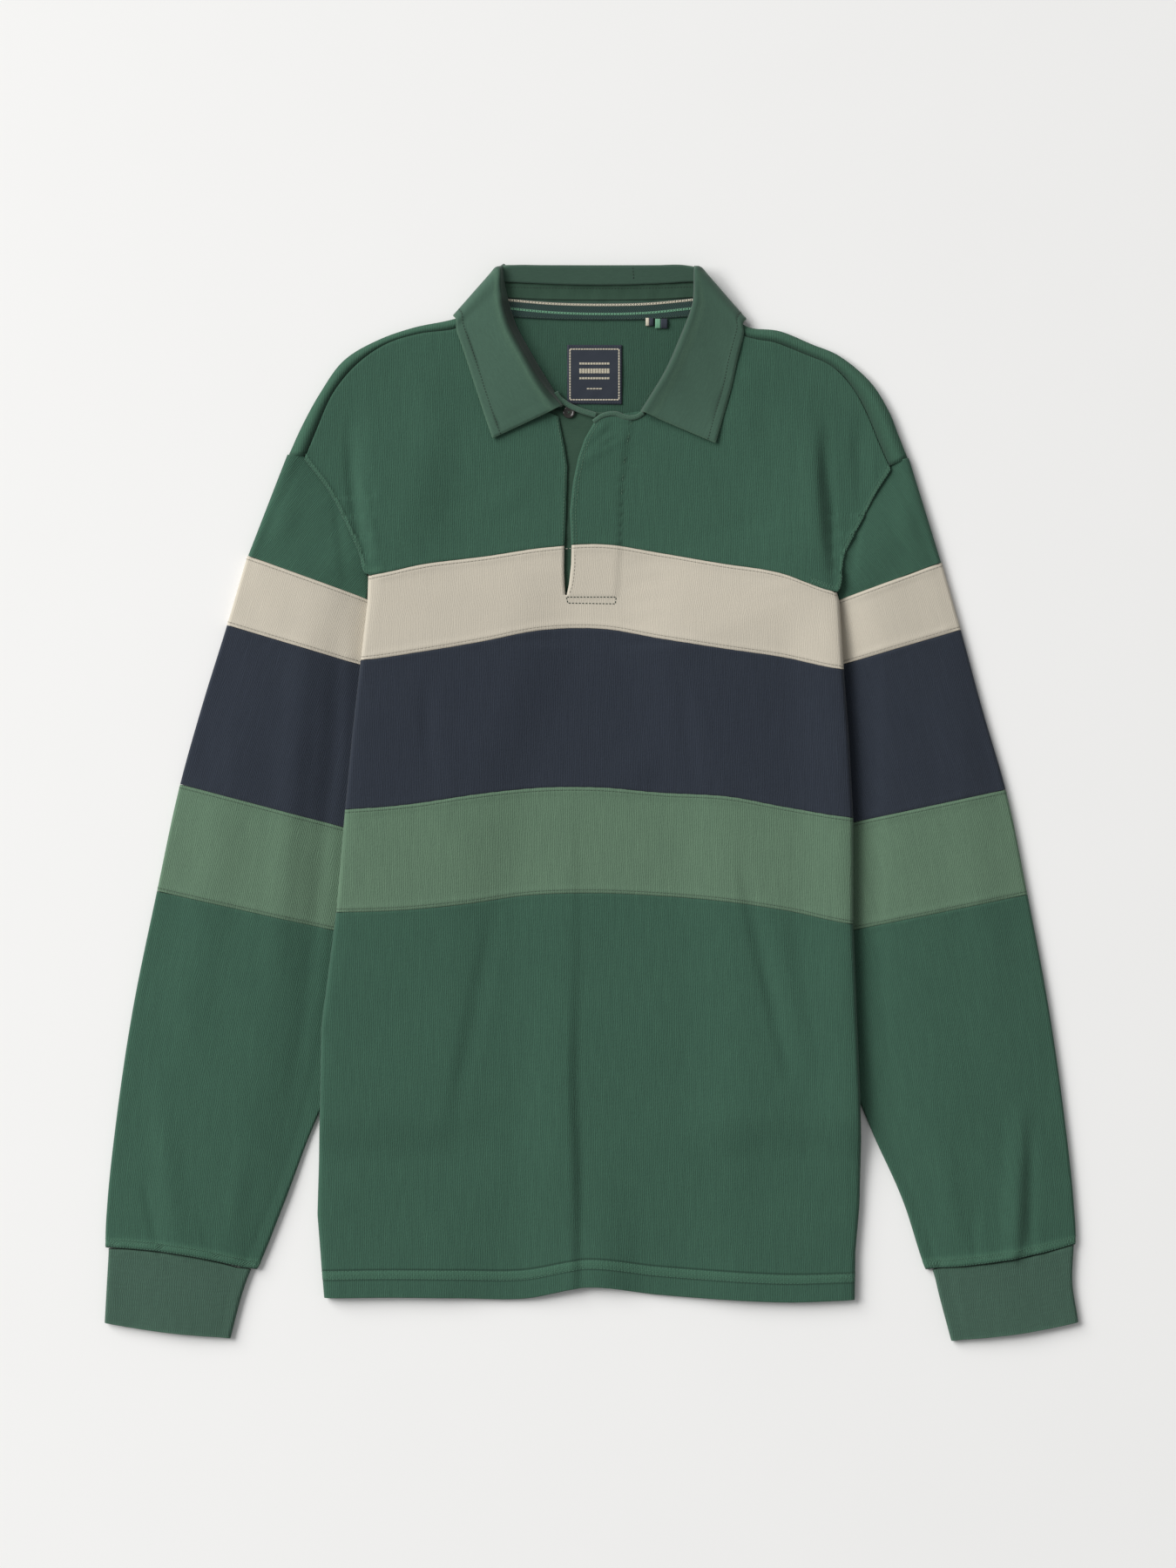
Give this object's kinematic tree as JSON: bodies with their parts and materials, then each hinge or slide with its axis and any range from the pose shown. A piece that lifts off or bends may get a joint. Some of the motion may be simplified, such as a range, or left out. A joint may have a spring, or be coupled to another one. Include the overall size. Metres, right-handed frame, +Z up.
{
  "type": "rugby shirt",
  "caption": "long-sleeved rugby shirt with banded body and sleeves and a twill collar, laid out flat with its sides folded under",
  "frame": {"origin": "centre of the laid-out shirt's bounding box, on the surface it lies on", "axes": "+Y towards the collar, +X to the right as seen from above, +Z up"},
  "size_m": [0.716, 0.7904, 0.0108],
  "materials": {
    "green_jersey": "heavy cotton jersey, dark green",
    "stone_jersey": "heavy cotton jersey, stone",
    "navy_jersey": "heavy cotton jersey, navy",
    "sage_jersey": "heavy cotton jersey, sage",
    "rib": "rib knit, dark green",
    "collar_twill": "cotton twill, dark green",
    "tape": "herringbone tape, navy and green with light beads",
    "label": "woven label, navy with a cream frame",
    "button": "glossy"
  },
  "bodies": {
    "root": {"front_upper_left": "green_jersey", "front_upper_right": "green_jersey", "front_stone": "stone_jersey", "front_navy": "navy_jersey", "front_sage": "sage_jersey", "front_lower": "green_jersey", "back_upper": "green_jersey", "back_stone": "stone_jersey", "back_navy": "navy_jersey", "back_sage": "sage_jersey", "back_lower": "green_jersey", "sleeve_upper_left": "green_jersey", "sleeve_stone_left": "stone_jersey", "sleeve_navy_left": "navy_jersey", "sleeve_sage_left": "sage_jersey", "sleeve_lower_left": "green_jersey", "cuff_left": "rib", "sleeve_upper_right": "green_jersey", "sleeve_stone_right": "stone_jersey", "sleeve_navy_right": "navy_jersey", "sleeve_sage_right": "sage_jersey", "sleeve_lower_right": "green_jersey", "cuff_right": "rib", "placket_underlap": "collar_twill", "placket_button": "button", "neck_binding_left": "green_jersey", "neck_binding_right": "green_jersey", "collar_fall": "collar_twill", "collar_stand": "collar_twill", "neck_tape": "tape", "loop_end_left": "tape", "loop_end_right": "tape", "neck_label": "label"}
  },
  "joints": []
}
